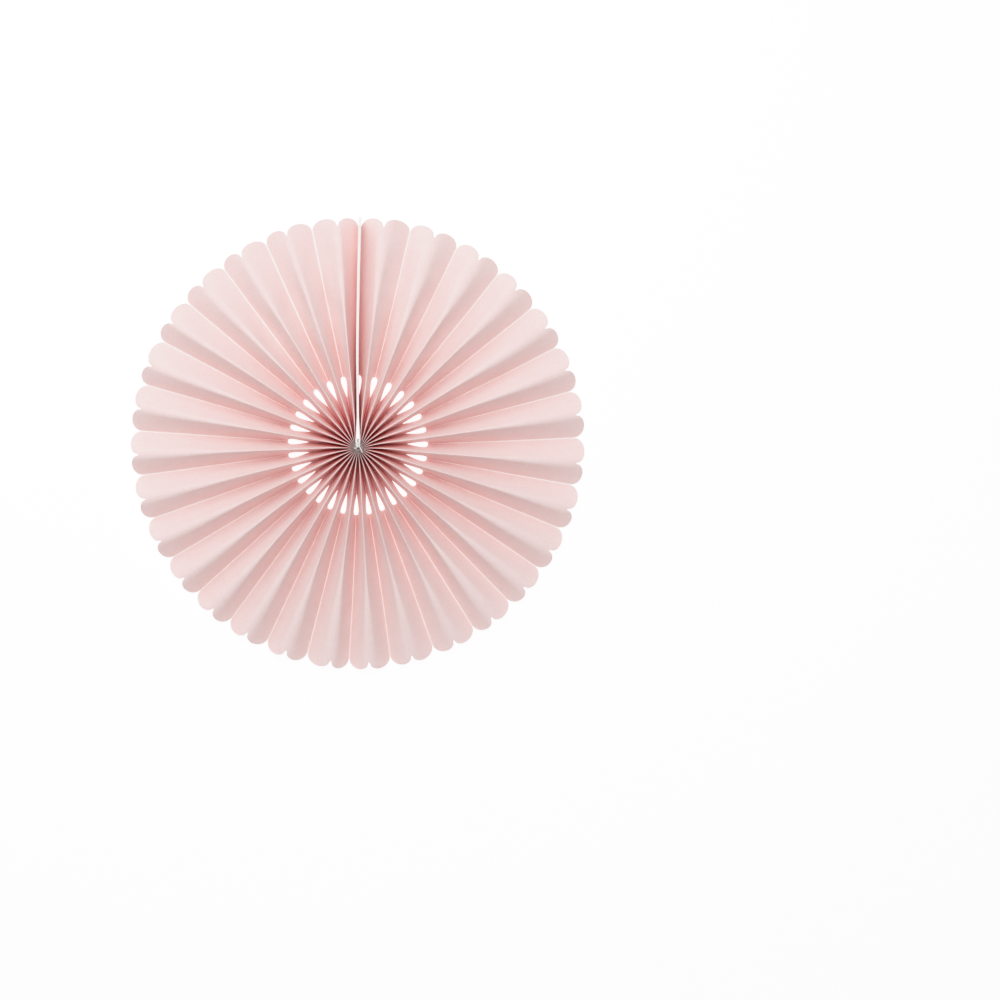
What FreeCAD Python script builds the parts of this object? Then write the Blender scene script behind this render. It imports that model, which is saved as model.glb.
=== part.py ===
import FreeCAD, Part, Sketcher
import math
import os
import sys

# Paper fan rosette, lying on its back with its front up. Millimetres.
# +Z is the front, +Y is 12 o'clock (the seam with the two cards), +X is right.
# The origin is on the resting plane, under the middle of the whole object's outline.
# One sheet is folded into 62 panels: the first and the last lie against the end cards, and the
# 60 between them run round the circle, from valley folds at the back to ridge folds at the front.
# All panels have the same width, so a ridge stands as high as the panel's width at the hub and
# comes down towards the rim, where the panels spread apart.

doc = FreeCAD.newDocument("paper_fan_rosette")

# ---------------------------------------------------------------- driving dimensions
SHEET = [
    ("rim_radius", 200.1, "radius of the circle through the scallop tips"),
    ("hub_drop", 0.7, "the hub sits this far below the middle of the rim circle"),
    ("hub_x", 0.05, "the hub in the frame, which stands under the middle of the outline"),
    ("hub_y", 0.23, "the hub in the frame"),
    ("seam_dip", 2.2, "the scallops beside the seam stand this much further in"),
    ("pleat_width", 25.0, "width of each panel in the flat sheet"),
    ("paper_thick", 0.25, "thickness of the paper"),
    ("hub_radius", 3.8, "inner ends of the panels"),
    ("ridge_count", 30, "mountain folds"),
    ("valley_notch", 8.3, "depth of the scallop notch on a valley fold"),
    ("ridge_notch", 8.0, "depth of the scallop notch on a ridge fold"),
    ("slot_inner", 43.7, "pointed inner end of the drop-shaped cut-outs"),
    ("slot_outer", 62.2, "rounded outer end of the cut-outs"),
    ("slot_half", 9.3, "half width of a cut-out across the fold, in the flat sheet"),
    ("needle_hole", 1.6, "diameter of the thread's hole in each panel and card"),
    ("thread_dia", 0.8, "diameter of the tie thread"),
    ("thread_ring", 6.5, "radius of the ring that the thread makes round the hub"),
    ("thread_up", 12.5, "height of that ring, half way up the panels"),
    ("card_thick", 0.8, "thickness of an end card"),
    ("card_height", 25.0, "width of an end card, as it stands on edge"),
    ("card_start", 3.0, "inner end of the cards, from the hub"),
    ("card_bend", 26.0, "from here inward the cards are pushed apart by the knot"),
    ("card_splay", 1.1, "how far each card's inner end is pushed out"),
    ("card_tip", 197.2, "outer end of the cards, from the hub"),
    ("lean_start", 108.0, "outward from here the seam bows to the right"),
    ("lean_bend", 154.0, "where the bow steepens"),
    ("lean_a", 0.1, "the seam's offset at the bow's start"),
    ("lean_b", 0.75, "the seam's offset where the bow steepens"),
    ("lean_tip", 2.0, "the seam's offset at the cards' outer end"),
    ("glue", 0.02, "glue between a card and the panel stuck to it"),
    ("tape_thick", 0.2, "thickness of the double-sided tape"),
    ("tape_start", 34.0, "inner end of the tape, from the hub"),
    ("tape_end", 194.0, "outer end of the tape, from the hub"),
    ("tape_low", 1.0, "lower edge of the tape"),
    ("tape_high", 24.4, "upper edge of the tape"),
    ("strand_gap", 0.48, "each strand's distance from the seam's middle between the cards"),
    ("knot_up", 24.75, "height of the knot's top strand"),
]
# Directions of the folds, in degrees clockwise from 12 o'clock about the hub, near the hub and at
# the rim. The folds of a real fan are not quite evenly spread.
VALLEY_NEAR = [14.3, 27.3, 40.0, 52.1, 64.5, 76.4, 88.7, 101.0, 112.5, 124.3, 136.2, 147.5, 158.8, 170.4, 181.5,
               192.8, 204.4, 215.8, 226.9, 238.5, 250.0, 262.0, 273.7, 286.1, 298.0, 309.8, 322.2, 335.2, 347.5]
VALLEY_RIM = [13.7, 26.6, 39.3, 51.7, 63.7, 75.8, 88.0, 100.5, 112.4, 124.3, 136.0, 147.7, 159.6, 171.3, 182.3,
              193.6, 204.8, 216.1, 227.3, 238.8, 250.4, 262.1, 273.8, 286.0, 298.1, 310.0, 322.8, 335.5, 348.0]
RIDGE_NEAR = [7.2, 20.7, 33.7, 46.1, 58.3, 70.5, 82.4, 94.7, 106.8, 118.4, 130.2, 141.7, 153.0, 164.6, 176.1,
              187.0, 198.7, 210.1, 221.2, 232.7, 244.2, 255.9, 267.9, 279.7, 291.7, 303.9, 316.1, 328.7, 341.4, 354.0]
RIDGE_RIM = [6.7, 20.1, 32.9, 45.3, 57.8, 69.9, 81.8, 94.5, 106.8, 118.6, 130.4, 142.2, 153.8, 165.6, 177.0,
             187.2, 199.3, 210.6, 221.6, 232.8, 244.3, 256.0, 267.8, 279.8, 291.3, 303.6, 315.9, 328.5, 341.4, 354.7]

sheet = doc.addObject("Spreadsheet::Sheet", "Dimensions")
row = 0
for alias, value, note in SHEET:
    row += 1
    sheet.set("A%d" % row, alias)
    sheet.set("B%d" % row, str(value))
    sheet.set("C%d" % row, note)
    sheet.setAlias("B%d" % row, alias)
for name, values in (("valley_near", VALLEY_NEAR), ("valley_rim", VALLEY_RIM), ("ridge_near", RIDGE_NEAR), ("ridge_rim", RIDGE_RIM)):
    for n, value in enumerate(values):
        row += 1
        alias = "%s_%s" % (name, chr(97 + n // 26) + chr(97 + n % 26))
        sheet.set("A%d" % row, alias)
        sheet.set("B%d" % row, str(value))
        sheet.set("C%d" % row, "degrees clockwise from the seam, fold %d" % (n + 1))
        sheet.setAlias("B%d" % row, alias)
doc.recompute()


def val(alias):
    """The number in the cell with this alias."""
    return float(sheet.get(alias))


def row_of(name, count):
    """A numbered series of cells, as a list."""
    return [val("%s_%s" % (name, chr(97 + n // 26) + chr(97 + n % 26))) for n in range(count)]


# ---------------------------------------------------------------- the folded sheet
RIM, DROP, DIP = val("rim_radius"), val("hub_drop"), val("seam_dip")
WIDTH, THICK, HUB = val("pleat_width"), val("paper_thick"), val("hub_radius")
COUNT = int(val("ridge_count"))
NOTCH_V, NOTCH_R = val("valley_notch"), val("ridge_notch")
SLOT_A, SLOT_B, SLOT_HALF = val("slot_inner"), val("slot_outer"), val("slot_half")
HOLE, RING, RING_UP = val("needle_hole") / 2, val("thread_ring"), val("thread_up")
CARD, BEND, SPLAY, START = val("card_thick"), val("card_bend"), val("card_splay"), val("card_start")
TAPE, GLUE = val("tape_thick"), val("glue")
HUB_X, HUB_Y = val("hub_x"), val("hub_y")
LEAN = [(0.0, 0.0), (val("card_bend"), 0.0), (val("lean_start"), val("lean_a")), (val("lean_bend"), val("lean_b")), (val("card_tip"), val("lean_tip"))]
NEAR_AT, RIM_AT = 54.0, 188.0  # where the two series of directions hold

V_NEAR, V_RIM = row_of("valley_near", COUNT - 1), row_of("valley_rim", COUNT - 1)
R_NEAR, R_RIM = row_of("ridge_near", COUNT), row_of("ridge_rim", COUNT)

# Folds in order: 0 is the free top edge of the first panel, 1 the valley beside the right card,
# 2 the first ridge, and so on to the valley beside the left card and the last free edge.
FOLDS = 2 * COUNT + 3


def is_valley(k):
    return k % 2 == 1


def card_face(y):
    """Distance of a card's outer face from the seam's middle plane, at distance y from the hub."""
    push = SPLAY * max(0.0, (BEND - y) / (BEND - START))
    return TAPE / 2 + CARD + push


def seam_line(y):
    """Sideways offset of the seam's middle, and its slope, at distance y from the hub."""
    for (y1, x1), (y2, x2) in zip(LEAN, LEAN[1:]):
        if y < y2 or y2 == LEAN[-1][0]:
            return x1 + (x2 - x1) * (y - y1) / (y2 - y1), (x2 - x1) / (y2 - y1)


def seam_angle(r, side):
    """Direction of the fold that lies along a card, whose panel touches that card. side is 1 on the
    right and -1 on the left. Degrees clockwise, negative on the left."""
    y = r
    for _ in range(30):
        x = seam_line(y)[0] + side * (card_face(y) + GLUE + THICK / 2)
        y = math.sqrt(max(r * r - x * x, 0.01))
    return math.degrees(math.atan2(x, y))


def direction(k, r):
    """Direction of fold k at radius r, degrees clockwise."""
    right, left = seam_angle(r, 1), seam_angle(r, -1)
    if k <= 1:
        return right
    if k >= FOLDS - 2:
        return 360.0 + left
    t = (r - NEAR_AT) / (RIM_AT - NEAR_AT)
    if is_valley(k):
        near, far = V_NEAR[(k - 3) // 2], V_RIM[(k - 3) // 2]
    else:
        near, far = R_NEAR[(k - 2) // 2], R_RIM[(k - 2) // 2]
    a = near + (far - near) * max(0.0, t)
    # towards the hub the cards take up room, so the folds close up evenly beside them
    even = right + (360.0 + left - right) * (k - 1) / (FOLDS - 3)
    mix = min(1.0, max(0.0, (NEAR_AT - r) / (NEAR_AT - HUB))) ** 1.5
    return a + (even - a) * mix


def tip_radius(a):
    """Distance from the hub to the circle of the scallop tips, in direction a."""
    rad = math.radians(a)
    out = DROP * math.cos(rad) + math.sqrt(RIM ** 2 - (DROP * math.sin(rad)) ** 2)
    off = min(a, 360.0 - a)
    return out - DIP * max(0.0, 1.0 - off / 14.0)


def mid_point(k, r):
    """Point of fold k on the middle of the sheet, at radius r from the hub's axis."""
    a = math.radians(direction(k, r))
    near = [direction(j, r) for j in (k - 1, k + 1) if 1 <= j <= FOLDS - 2]
    gap = sum(abs(d - direction(k, r)) for d in near) / len(near)
    half = r * math.radians(gap)
    base = THICK / 2 * min(half, WIDTH) / WIDTH + 0.01
    if k in (0, FOLDS - 1):
        z = WIDTH - 0.02
    elif is_valley(k):
        z = base
    else:
        z = math.sqrt(max(WIDTH ** 2 - half ** 2, 1.0)) - base
    return FreeCAD.Vector(r * math.sin(a), r * math.cos(a), z)


def panel_normal(p, r):
    """Unit normal of panel p (from fold p to fold p + 1), towards the front."""
    if p == 0 or p == FOLDS - 2:  # flat against a card
        y0 = mid_point(1, r).y
        side = 1.0 if p == 0 else -1.0
        slope = seam_line(y0)[1] - (side * SPLAY / (BEND - START) if y0 < BEND - 1e-6 else 0.0)
        return FreeCAD.Vector(side, -side * slope, 0).normalize()
    one, two = mid_point(p, r), mid_point(p + 1, r)
    along = two - one
    a = math.radians((direction(p, r) + direction(p + 1, r)) / 2)
    radial = FreeCAD.Vector(math.sin(a), math.cos(a), 0)
    n = radial.cross(along)
    if n.z < 0:
        n = n * -1
    return n.normalize()


POINTS, FACETS = [], []


def add_point(v):
    POINTS.append(FreeCAD.Vector(v.x + HUB_X, v.y + HUB_Y, v.z))
    return len(POINTS) - 1


def add_facet(a, b, c, flip=False):
    if len({a, b, c}) == 3:
        FACETS.append((a, c, b) if flip else (a, b, c))


shared = {}


def fold_ends(k, r):
    """The sheet's surface points at fold k and radius r: (front of the panel before, front of the
    panel after, back of the panel before, back of the panel after). On the hollow side of a fold
    both panels share one point, and on the outer side the crease is a narrow flat."""
    key = (k, round(r, 5))
    if key in shared:
        return shared[key]
    m = mid_point(k, r)
    if k == 0:
        n = panel_normal(0, r)
        f, b = add_point(m + n * (THICK / 2)), add_point(m - n * (THICK / 2))
        shared[key] = (f, f, b, b)
    elif k == FOLDS - 1:
        n = panel_normal(FOLDS - 2, r)
        f, b = add_point(m + n * (THICK / 2)), add_point(m - n * (THICK / 2))
        shared[key] = (f, f, b, b)
    else:
        n1, n2 = panel_normal(k - 1, r), panel_normal(k, r)
        both = n1 + n2
        both.normalize()
        reach = (THICK / 2) / max(both.dot(n1), 1e-3)
        if is_valley(k):  # hollow at the front
            f = add_point(m + both * reach)
            b1, b2 = add_point(m - n1 * (THICK / 2)), add_point(m - n2 * (THICK / 2))
            shared[key] = (f, f, b1, b2)
        else:  # hollow at the back
            b = add_point(m - both * reach)
            f1, f2 = add_point(m + n1 * (THICK / 2)), add_point(m + n2 * (THICK / 2))
            shared[key] = (f1, f2, b, b)
    return shared[key]


def inner_point(p, f, r):
    """A point of panel p at fraction f of its width and radius r: its front and back surface points."""
    m = mid_point(p, r) * (1 - f) + mid_point(p + 1, r) * f
    n = panel_normal(p, r)
    return add_point(m + n * (THICK / 2)), add_point(m - n * (THICK / 2))


def zip_strip(left, right, flip):
    """Triangles between two rows of (radius, point) from the hub outward."""
    i, j = 0, 0
    while i < len(left) - 1 or j < len(right) - 1:
        if j == len(right) - 1 or (i < len(left) - 1 and left[i + 1][0] <= right[j + 1][0]):
            add_facet(left[i][1], right[j][1], left[i + 1][1], flip)
            i += 1
        else:
            add_facet(left[i][1], right[j][1], right[j + 1][1], flip)
            j += 1


def wall(front_a, front_b, back_a, back_b, flip=False):
    """The cut edge of the sheet between two surface points and the next two."""
    add_facet(front_a, back_a, front_b, flip)
    add_facet(back_a, back_b, front_b, flip)


def crease_cap(k, r, flip):
    """Closes the crease's narrow flat where the fold ends."""
    f1, f2, b1, b2 = fold_ends(k, r)
    if f1 != f2:
        add_facet(f1, f2, b1, flip)
    elif b1 != b2:
        add_facet(f1, b2, b1, flip)


HOLE_BAND = (HUB, 9.2)
PLAIN = [HUB, 9.2, BEND + 0.05, SLOT_A, SLOT_B, 108.0, 154.0]
DROP_SHAPE = [(0.34, 0.50), (0.62, 0.84), (0.80, 1.0), (0.94, 0.74)]  # along the cut-out, half width
LOBE = [30.0, 60.0]


def notch_radius(k):
    """Where fold k ends, in the notch between two scallops."""
    a = direction(k, RIM - 8)
    return tip_radius(a) - (NOTCH_V if is_valley(k) else NOTCH_R)


def slotted(k):
    """Every valley has a cut-out, but for the one beside the left card, where none shows."""
    return is_valley(k) and k != FOLDS - 2


for k in range(FOLDS):  # creases, with their ends
    end = notch_radius(k) if 0 < k < FOLDS - 1 else None
    if end is None:
        continue
    runs = [[r for r in PLAIN if r <= SLOT_A], [r for r in PLAIN if r >= SLOT_B] + [end]] if slotted(k) else [PLAIN + [end]]
    for run in runs:
        for r1, r2 in zip(run, run[1:]):
            f1, f2, b1, b2 = fold_ends(k, r1)
            g1, g2, c1, c2 = fold_ends(k, r2)
            if f1 != f2:
                add_facet(f1, f2, g2)
                add_facet(f1, g2, g1)
            elif b1 != b2:
                add_facet(b1, c2, b2)
                add_facet(b1, c1, c2)
        crease_cap(k, run[0], flip=True)
        crease_cap(k, run[-1], flip=False)

for p in range(FOLDS - 1):
    left_k, right_k = p, p + 1
    lo = [(r,) + (fold_ends(left_k, r)[1], fold_ends(left_k, r)[3]) for r in PLAIN]
    ro = [(r,) + (fold_ends(right_k, r)[0], fold_ends(right_k, r)[2]) for r in PLAIN]
    mid_a = (direction(left_k, RIM) + direction(right_k, RIM)) / 2
    tip = tip_radius(mid_a)

    def lobe_side(k, sign):
        """From the notch on fold k to the last point before the scallop's tip."""
        if 0 < k < FOLDS - 1:
            start = notch_radius(k)
            ends = fold_ends(k, start)
            row = [(start, ends[1] if sign < 0 else ends[0], ends[3] if sign < 0 else ends[2])]
        else:
            start = tip - NOTCH_R
            ends = fold_ends(k, start)
            row = [(start, ends[0], ends[2])]
        for t in LOBE:
            s = math.radians(t)
            f = 0.5 - 0.5 * math.cos(s)
            r = start + (tip - start) * math.sin(s)
            front, back = inner_point(p, f if sign < 0 else 1 - f, r)
            row.append((r, front, back))
        return row

    tip_front, tip_back = inner_point(p, 0.5, tip)
    left_lobe = lobe_side(left_k, -1) + [(tip, tip_front, tip_back)]
    right_lobe = lobe_side(right_k, 1) + [(tip, tip_front, tip_back)]

    def slot_side(k, sign):
        """The cut-out's edge on this panel, between its two ends on fold k."""
        row = []
        for q, c in DROP_SHAPE:
            r = SLOT_A + (SLOT_B - SLOT_A) * q
            f = c * SLOT_HALF / WIDTH
            front, back = inner_point(p, f if sign < 0 else 1 - f, r)
            row.append((r, front, back))
        return row

    slot_left = slot_side(left_k, -1) if slotted(left_k) else []
    slot_right = slot_side(right_k, 1) if slotted(right_k) else []
    # the needle hole: its lowest and highest points, and two points on each side
    centre_f = 0.5
    hole = {}
    for name, dr, df in (("in", -1.0, 0.0), ("out", 1.0, 0.0), ("l1", -0.5, -0.866), ("l2", 0.5, -0.866), ("r1", -0.5, 0.866), ("r2", 0.5, 0.866)):
        r = RING + dr * HOLE
        hole[name] = (r,) + inner_point(p, centre_f + df * HOLE / WIDTH, r)
    for side, flip in ((1, False), (2, True)):
        pick = lambda row: [(q[0], q[side]) for q in row]
        l0, l1, r0, r1 = lo[0], lo[1], ro[0], ro[1]
        # the band with the needle hole
        add_facet(l0[side], r0[side], hole["in"][side], flip)
        zip_strip([(l0[0], l0[side]), (l1[0], l1[side])], pick([hole["in"], hole["l1"], hole["l2"], hole["out"]]), flip)
        zip_strip(pick([hole["in"], hole["r1"], hole["r2"], hole["out"]]), [(r0[0], r0[side]), (r1[0], r1[side])], flip)
        add_facet(l1[side], hole["out"][side], r1[side], flip)
        # the rest, out to the scallop
        left = pick(lo[1:4] + slot_left + lo[4:] + left_lobe)
        right = pick(ro[1:4] + slot_right + ro[4:] + right_lobe)
        zip_strip(left, right, flip)
    # cut edges: the inner end, the needle hole, the cut-out and the scallop
    wall(lo[0][1], ro[0][1], lo[0][2], ro[0][2])
    ring = [hole[n] for n in ("in", "r1", "r2", "out", "l2", "l1")]
    for a, b in zip(ring, ring[1:] + ring[:1]):
        wall(b[1], a[1], b[2], a[2])
    if slot_left:
        row_l = [lo[3]] + slot_left + [lo[4]]
        for a, b in zip(row_l, row_l[1:]):
            wall(b[1], a[1], b[2], a[2])
    if slot_right:
        row_r = [ro[3]] + slot_right + [ro[4]]
        for a, b in zip(row_r, row_r[1:]):
            wall(a[1], b[1], a[2], b[2])
    for a, b in zip(left_lobe, left_lobe[1:]):
        wall(b[1], a[1], b[2], a[2])
    for a, b in zip(right_lobe, right_lobe[1:]):
        wall(a[1], b[1], a[2], b[2])
    if p == 0:  # the free long edge that stands beside the card's front edge
        full = lo + [left_lobe[0]]
        for a, b in zip(full, full[1:]):
            wall(b[1], a[1], b[2], a[2])
    if p == FOLDS - 2:
        full = ro + [right_lobe[0]]
        for a, b in zip(full, full[1:]):
            wall(a[1], b[1], a[2], b[2])


def closed_solid(name, points, facets):
    """A solid from a closed surface of flat triangles, each edge made once and shared."""
    edges = {}
    for tri in facets:
        for a, b in zip(tri, tri[1:] + tri[:1]):
            edges[(a, b)] = edges.get((a, b), 0) + 1
    open_edges = [e for e, n in edges.items() if n != 1 or edges.get((e[1], e[0]), 0) != 1]
    print(name, "facets", len(facets), "points", len(points), "open edges", len(open_edges))
    if open_edges:
        for e in open_edges[:12]:
            print("  open", e, points[e[0]], points[e[1]])
        sys.exit(1)
    made = {}

    def edge_between(a, b):
        key = (min(a, b), max(a, b))
        if key not in made:
            made[key] = Part.Edge(Part.LineSegment(points[key[0]], points[key[1]]))
        return made[key]

    faces = [Part.Face(Part.Wire([edge_between(a, b), edge_between(b, c), edge_between(c, a)])) for a, b, c in facets]
    skin = Part.Compound(faces)
    skin.sewShape(1e-5)
    solid = Part.Solid(skin.Shells[0])
    if solid.Volume < 0:
        solid.reverse()
    return solid


fan = doc.addObject("Part::Feature", "paper_fan")
fan.Label = "paper_fan"
fan.Shape = closed_solid("paper_fan", POINTS, FACETS)
fan.Placement = FreeCAD.Placement(FreeCAD.Vector(0, 0, 0), FreeCAD.Rotation())


# ---------------------------------------------------------------- the end cards
def plane(body, role):
    return next(o for o in body.Origin.OriginFeatures if o.Role == role)


def corners(side, stations, rules):
    """Corners of a strip's plan, down its one side and back up the other, each (rule for x, x, rule
    for y, y). stations are (distance from the hub, seam's offset, push outward), rules the distances
    of the two sides from the seam's middle."""
    rows = []
    for rule, off in rules:
        row = []
        for (y_rule, y), (x_rule, x), push in stations:
            far_rule, far = rule, off
            if push:
                far_rule, far = rule + " + Dimensions.card_splay", off + SPLAY
            row.append(("Dimensions.hub_x + %s + %d * (%s)" % (x_rule, side, far_rule), HUB_X + x + side * far,
                        "Dimensions.hub_y + %s" % y_rule, HUB_Y + y))
        rows.append(row)
    return rows[0] + rows[1][::-1]


def cell(alias):
    return "Dimensions." + alias, val(alias)


def strip(name, places, low, high):
    """A strip that stands on its long edge, as a pad of its plan between two heights."""
    body = doc.addObject("PartDesign::Body", name)
    body.Label = name
    plan = body.newObject("Sketcher::SketchObject", name + "_plan")
    plan.AttachmentSupport = [(plane(body, "XY_Plane"), "")]
    plan.MapMode = "FlatFace"
    plan.setExpression("AttachmentOffset.Base.z", low[0])
    count = len(places)
    for n in range(count):
        here, there = places[n], places[(n + 1) % count]
        plan.addGeometry(Part.LineSegment(FreeCAD.Vector(here[1], here[3], 0), FreeCAD.Vector(there[1], there[3], 0)), False)
    for n in range(count):
        plan.addConstraint(Sketcher.Constraint("Coincident", n, 2, (n + 1) % count, 1))
    for n, (x_rule, x, y_rule, y) in enumerate(places):
        for kind, label, rule, value in (("DistanceX", "across_", x_rule, x), ("DistanceY", "along_", y_rule, y)):
            ends = (-1, 1, n, 1) if value >= 0 else (n, 1, -1, 1)
            c = plan.addConstraint(Sketcher.Constraint(kind, *ends, abs(value)))
            label += chr(97 + n)
            plan.renameConstraint(c, label)
            plan.setExpression("Constraints." + label, rule if value >= 0 else "-(%s)" % rule)
    doc.recompute()
    pad = body.newObject("PartDesign::Pad", name + "_strip")
    pad.Profile = plan
    pad.Length = high[1] - low[1]
    pad.setExpression("Length", "%s - %s" % (high[0], low[0]))
    doc.recompute()
    return body


STRAIGHT = ("0", 0.0)
BOWED = [(cell("lean_start"), cell("lean_a"), False), (cell("lean_bend"), cell("lean_b"), False)]


def end_card(name, side):
    """A strip of stiff card beside the seam. side is 1 for the right one."""
    stations = [(cell("card_start"), STRAIGHT, True), (cell("card_bend"), STRAIGHT, False)] + BOWED + [(cell("card_tip"), cell("lean_tip"), False)]
    rules = [("Dimensions.tape_thick / 2", TAPE / 2), ("Dimensions.tape_thick / 2 + Dimensions.card_thick", TAPE / 2 + CARD)]
    body = strip(name, corners(side, stations, rules), ("0", 0.0), cell("card_height"))
    before = body.Shape.Volume
    punch = body.newObject("Sketcher::SketchObject", name + "_punch")
    punch.AttachmentSupport = [(plane(body, "YZ_Plane"), "")]
    punch.MapMode = "FlatFace"
    y = HUB_Y + RING
    punch.addGeometry(Part.Circle(FreeCAD.Vector(y, RING_UP, 0), FreeCAD.Vector(0, 0, 1), HOLE), False)
    for label, constraint, rule in [
        ("hole_dia", Sketcher.Constraint("Diameter", 0, 2 * HOLE), "Dimensions.needle_hole"),
        ("hole_y", Sketcher.Constraint("DistanceX", -1, 1, 0, 3, y), "Dimensions.thread_ring + Dimensions.hub_y"),
        ("hole_z", Sketcher.Constraint("DistanceY", -1, 1, 0, 3, RING_UP), "Dimensions.thread_up"),
    ]:
        n = punch.addConstraint(constraint)
        punch.renameConstraint(n, label)
        punch.setExpression("Constraints." + label, rule)
    doc.recompute()
    pocket = body.newObject("PartDesign::Pocket", name + "_needle_hole")
    pocket.Profile = punch
    pocket.Type = "ThroughAll"
    pocket.Midplane = True
    doc.recompute()
    print(name, "volume", before, "->", body.Shape.Volume)
    if body.Shape.Volume > before - 1.0:
        raise RuntimeError(name + ": the needle hole cut nothing")
    return body


right_card = end_card("end_card_right", 1)
left_card = end_card("end_card_left", -1)

# ---------------------------------------------------------------- the tape between the cards
tape_tip = ("(Dimensions.lean_b + (Dimensions.lean_tip - Dimensions.lean_b) * (Dimensions.tape_end - Dimensions.lean_bend) / (Dimensions.card_tip - Dimensions.lean_bend))",
            seam_line(val("tape_end"))[0])
tape_root = ("(Dimensions.lean_a * (Dimensions.tape_start - Dimensions.card_bend) / (Dimensions.lean_start - Dimensions.card_bend))",
             seam_line(val("tape_start"))[0])
tape = strip("adhesive_tape", corners(1, [(cell("tape_start"), tape_root, False)] + BOWED + [(cell("tape_end"), tape_tip, False)],
                                      [("-Dimensions.tape_thick / 2", -TAPE / 2), ("Dimensions.tape_thick / 2", TAPE / 2)]),
             cell("tape_low"), cell("tape_high"))

# ---------------------------------------------------------------- the tie thread
# One thread: from its short end at the front of the hub down between the cards' inner ends, out
# through the left card, round through every panel, back in through the right card, up to the front
# and round the first strand as a knot.
STRAND, KNOT, THREAD = val("strand_gap"), val("knot_up"), val("thread_dia")


def at(x, y, z):
    return FreeCAD.Vector(x, y, z)


def rounded(points, rounds=2):
    """Corners cut, both ends kept."""
    for _ in range(rounds):
        out = [points[0]]
        for a, b in zip(points, points[1:]):
            out += [a * 0.75 + b * 0.25, a * 0.25 + b * 0.75]
        points = out + [points[-1]]
    return points


first = rounded([at(-2.3, -1.5, KNOT - 1.3), at(-1.35, -0.95, KNOT - 1.15), at(-STRAND - 0.1, -0.1, KNOT - 1.5), at(-STRAND, 0.6, KNOT - 2.2),
                 at(-STRAND, 0.6, KNOT - 3.4), at(-STRAND, 0.6, RING_UP + 1.0), at(-STRAND, 0.6, RING_UP), at(-STRAND, 1.6, RING_UP)])
start_a = math.asin((STRAND + 1.2) / RING)
STEPS = 28
turns = [start_a + (2 * math.pi - 2 * start_a) * n / STEPS for n in range(STEPS + 1)]
round_hub = [at(-RING * math.sin(a), RING * math.cos(a), RING_UP) for a in turns]
out_turn = rounded([at(-STRAND, RING - 1.6, RING_UP), at(-STRAND, RING, RING_UP), round_hub[0]])
in_turn = rounded([round_hub[-1], at(STRAND, RING, RING_UP), at(STRAND, RING - 1.6, RING_UP)])
last = rounded([at(STRAND, 1.6, RING_UP), at(STRAND, 0.6, RING_UP), at(STRAND, 0.6, RING_UP + 1.0), at(STRAND, 0.6, KNOT - 2.6),
                at(STRAND, 0.45, KNOT - 1.4), at(0.35, -0.35, KNOT - 0.4), at(-0.5, -0.75, KNOT), at(-1.5, 0.2, KNOT - 0.2), at(-1.1, 1.5, KNOT - 0.5),
                at(0.25, 1.8, KNOT - 0.5), at(1.3, 0.9, KNOT - 0.3), at(1.9, -0.3, KNOT - 0.25), at(2.3, -1.6, KNOT - 0.5)])
line = []
for v in first + out_turn + round_hub[1:-1] + in_turn + last:
    if not line or (v - line[-1]).Length > 0.05:
        line.append(v)
SIDES = 8
tube_points, tube_facets = [], []
normal = at(0, 0, 1)
for n, v in enumerate(line):
    along = line[min(n + 1, len(line) - 1)] - line[max(n - 1, 0)]
    along.normalize()
    normal = normal - along * normal.dot(along)
    normal.normalize()
    other = along.cross(normal)
    for k in range(SIDES):
        a = 2 * math.pi * k / SIDES
        tube_points.append(v + at(HUB_X, HUB_Y, 0) + normal * (THREAD / 2 * math.cos(a)) + other * (THREAD / 2 * math.sin(a)))
for n in range(len(line) - 1):
    for k in range(SIDES):
        a, b = n * SIDES + k, n * SIDES + (k + 1) % SIDES
        tube_facets += [(a, b, b + SIDES), (a, b + SIDES, a + SIDES)]
for n, flip in ((0, True), (len(line) - 1, False)):
    tube_points.append(line[n] + at(HUB_X, HUB_Y, 0))
    for k in range(SIDES):
        a, b = n * SIDES + k, n * SIDES + (k + 1) % SIDES
        tube_facets.append((b, a, len(tube_points) - 1) if flip else (a, b, len(tube_points) - 1))
thread = doc.addObject("Part::Feature", "tie_thread")
thread.Label = "tie_thread"
thread.Shape = closed_solid("tie_thread", tube_points, tube_facets)

# ---------------------------------------------------------------- checks and export
doc.recompute()
bad = [o.Name for o in doc.Objects if any(s in ("Invalid", "Error") for s in o.State)]
if bad:
    raise RuntimeError("failed objects: %s" % bad)
PARTS = [fan, left_card, right_card, tape, thread]
for o in PARTS:
    s = o.Shape
    if s.isNull() or not s.isValid() or len(s.Solids) != 1:
        raise RuntimeError("%s: null, invalid or not one solid (%d)" % (o.Label, len(s.Solids)))
    b = s.BoundBox
    print("%-15s volume %9.1f  faces %5d  x %.2f %.2f  y %.2f %.2f  z %.3f %.3f" % (o.Label, s.Volume, len(s.Faces), b.XMin, b.XMax, b.YMin, b.YMax, b.ZMin, b.ZMax))
os.makedirs("parts", exist_ok=True)
for o in PARTS:
    o.Shape.exportStep(os.path.join("parts", o.Label + ".step"))
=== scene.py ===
"""Paper fan rosette: the looks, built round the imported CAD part. Lengths in the tables are millimetres."""
import math

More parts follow.
